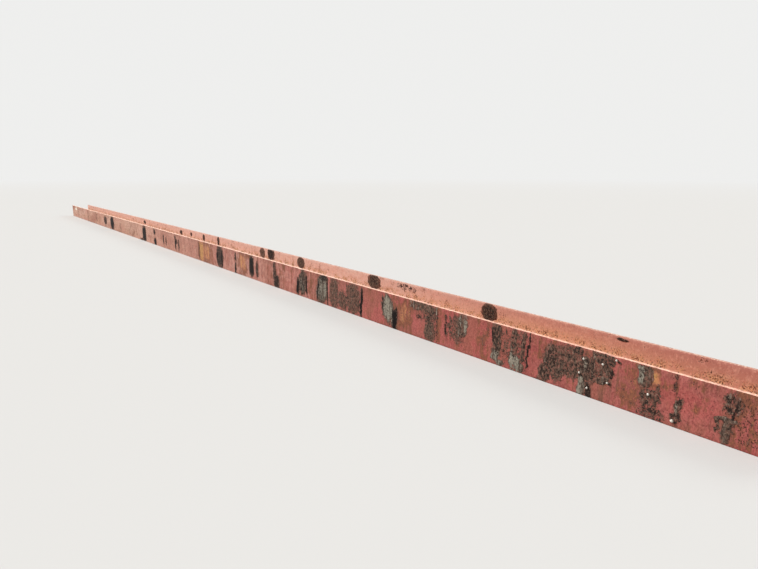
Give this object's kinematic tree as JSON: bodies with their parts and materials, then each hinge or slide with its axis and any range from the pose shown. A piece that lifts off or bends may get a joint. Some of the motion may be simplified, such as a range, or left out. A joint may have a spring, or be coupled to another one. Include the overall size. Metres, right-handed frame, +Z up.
{
  "type": "steel girder",
  "caption": "Long rolled wide-flange steel girder lying on its side, web level and flanges upright, in worn red primer, with a pair of bolt holes at one end of a flange.",
  "frame": {"origin": "centre of the underside: midway along the girder, midway between its flanges, on the floor that its lower flange toes rest on", "axes": "+X along the girder, away from the end with the bolt holes; +Y across it, from the flange with the bolt holes to the other flange; +Z up, along the flanges"},
  "size_m": [15.24, 0.363, 0.257],
  "materials": {
    "red_primer": "faded red oxide primer, chalky, flaked to bare brown steel in patches, with orange rust along the roots"
  },
  "bodies": {
    "root": {"girder": "red_primer"}
  },
  "joints": []
}
